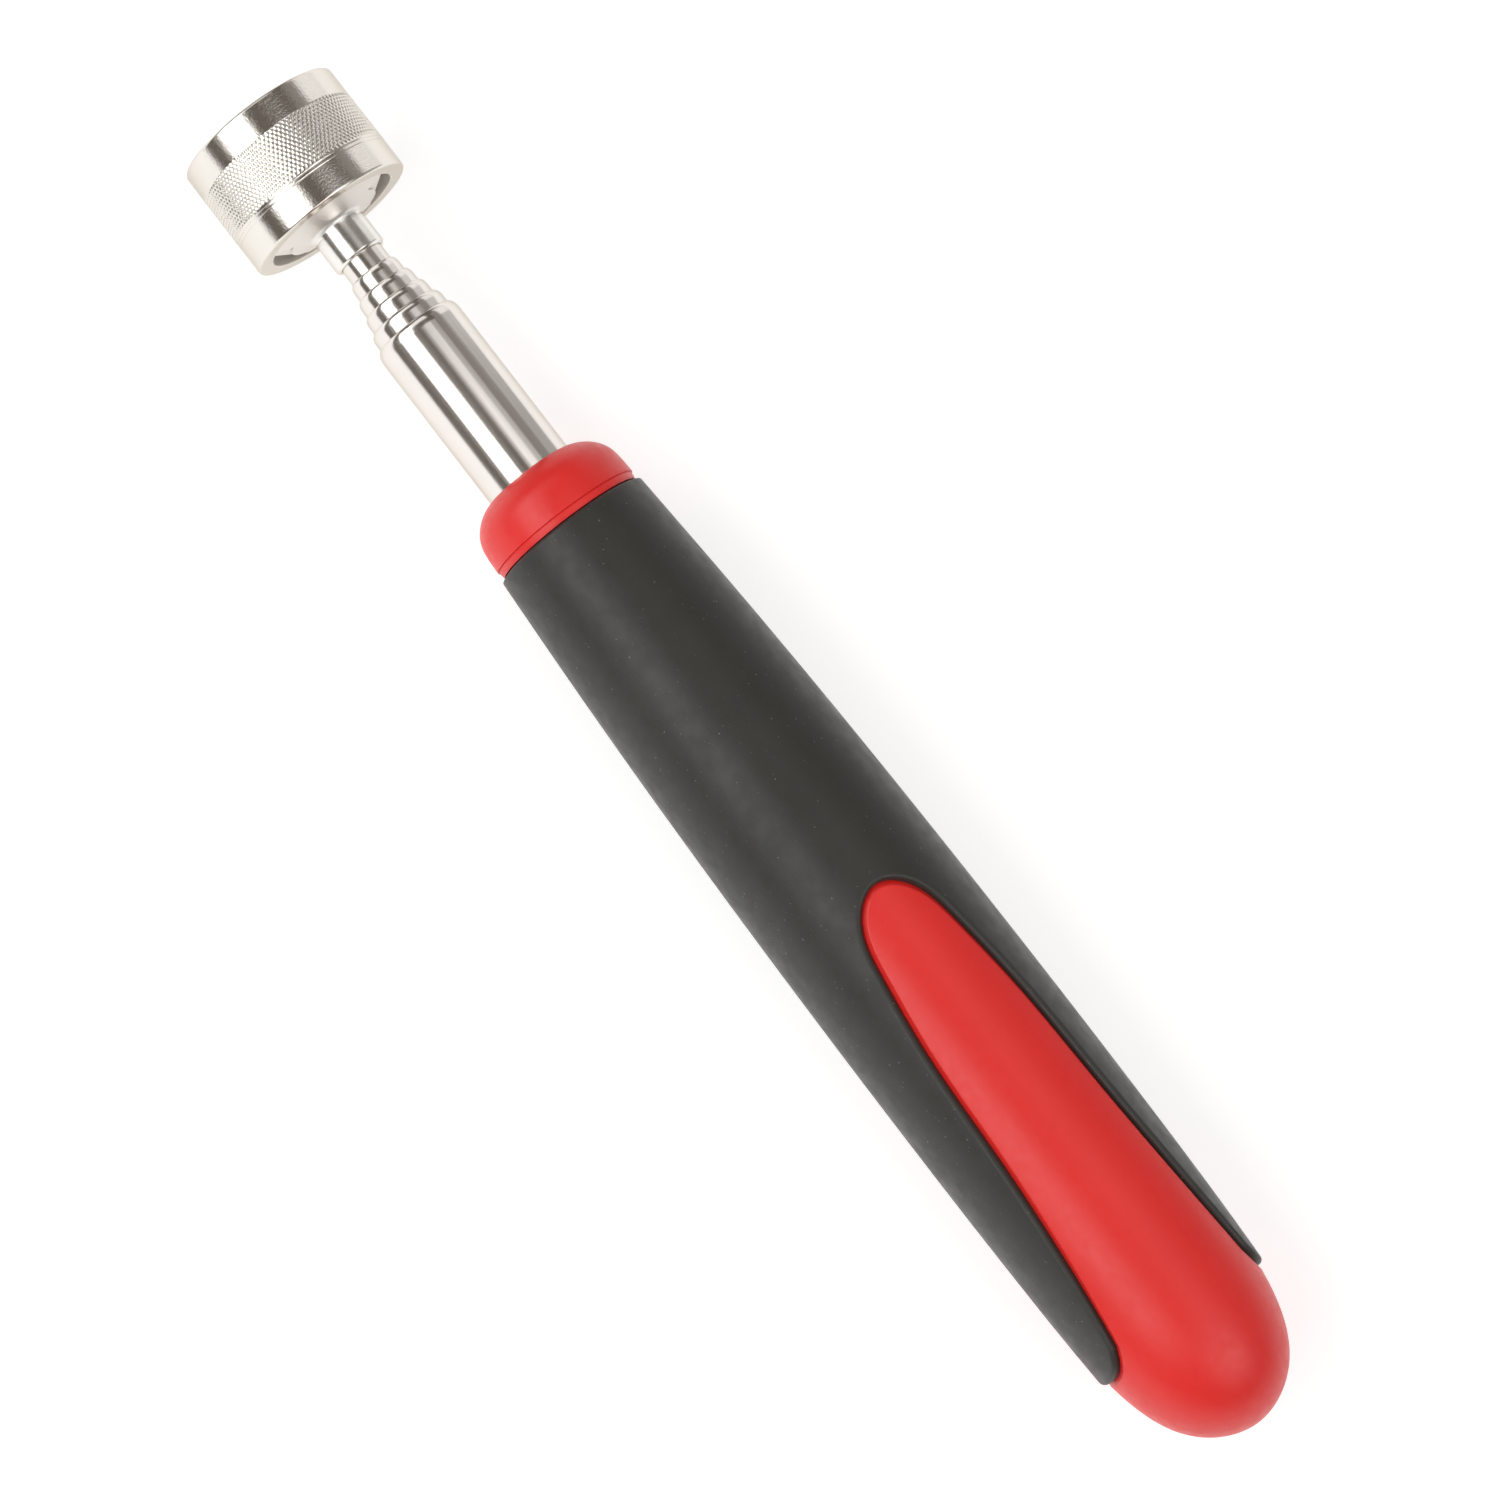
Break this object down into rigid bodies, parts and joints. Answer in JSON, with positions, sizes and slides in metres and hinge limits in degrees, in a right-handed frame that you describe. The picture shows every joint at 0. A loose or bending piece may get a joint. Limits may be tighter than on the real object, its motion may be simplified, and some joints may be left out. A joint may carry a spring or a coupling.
{
  "type": "telescoping magnetic pick-up tool",
  "caption": "Hand-held telescoping pick-up tool with a knurled magnetic head, a nested bright steel mast and a red handle with a charcoal rubber grip.",
  "frame": {"origin": "on the tool's axis at the middle of the grip", "axes": "+X along the tool towards the magnet, +Z out of one of the two handle windows, +Y to the side"},
  "size_m": [0.2032, 0.0262, 0.0258],
  "materials": {
    "red_plastic": "satin moulded red with a slight orange peel",
    "rubber_grip": "soft matte charcoal rubber",
    "black_plastic": "plain moulded black",
    "chrome_tube": "bright polished with fine drawing lines along its length",
    "plated_cup": "bright nickel plate, knurled in the middle",
    "plated_hub": "satin nickel plate with turning marks",
    "steel_disc": "ground steel",
    "magnet": "nickel-plated sintered magnet",
    "brass": "turned brass",
    "spring_bronze": "rolled spring bronze"
  },
  "bodies": {
    "handle": {"handle_core": "red_plastic", "grip_overmould": "rubber_grip", "mast_end_plug": "black_plastic", "mast_tube_1": "chrome_tube"},
    "turning_ring": {"friction_ring_2": "spring_bronze"},
    "section_2": {"mast_tube_2": "chrome_tube", "guide_bush_2": "brass"},
    "section_3": {"mast_tube_3": "chrome_tube", "guide_bush_3": "brass", "friction_ring_3": "spring_bronze"},
    "section_4": {"mast_tube_4": "chrome_tube", "guide_bush_4": "brass", "friction_ring_4": "spring_bronze"},
    "section_5": {"mast_tube_5": "chrome_tube", "guide_bush_5": "brass", "friction_ring_5": "spring_bronze"},
    "head_section": {"mast_tube_6": "chrome_tube", "guide_bush_6": "brass", "friction_ring_6": "spring_bronze", "magnet_cup": "plated_cup", "magnet_hub": "plated_hub", "backing_disc": "steel_disc", "magnet_disc": "magnet", "spacer_ring": "brass"}
  },
  "joints": [
    {"name": "section_2_slide", "type": "slide", "parent": "handle", "child": "turning_ring", "axis": [1, 0, 0], "range_m": [0, 0.127]},
    {"name": "mast_turn", "type": "hinge", "parent": "turning_ring", "child": "section_2", "pos_m": [-0.049, 0, 0], "axis": [1, 0, 0], "continuous": true},
    {"name": "section_3_slide", "type": "slide", "parent": "section_2", "child": "section_3", "axis": [1, 0, 0], "range_m": [0, 0.127]},
    {"name": "section_4_slide", "type": "slide", "parent": "section_3", "child": "section_4", "axis": [1, 0, 0], "range_m": [0, 0.127]},
    {"name": "section_5_slide", "type": "slide", "parent": "section_4", "child": "section_5", "axis": [1, 0, 0], "range_m": [0, 0.127]},
    {"name": "section_6_slide", "type": "slide", "parent": "section_5", "child": "head_section", "axis": [1, 0, 0], "range_m": [0, 0.127]}
  ]
}
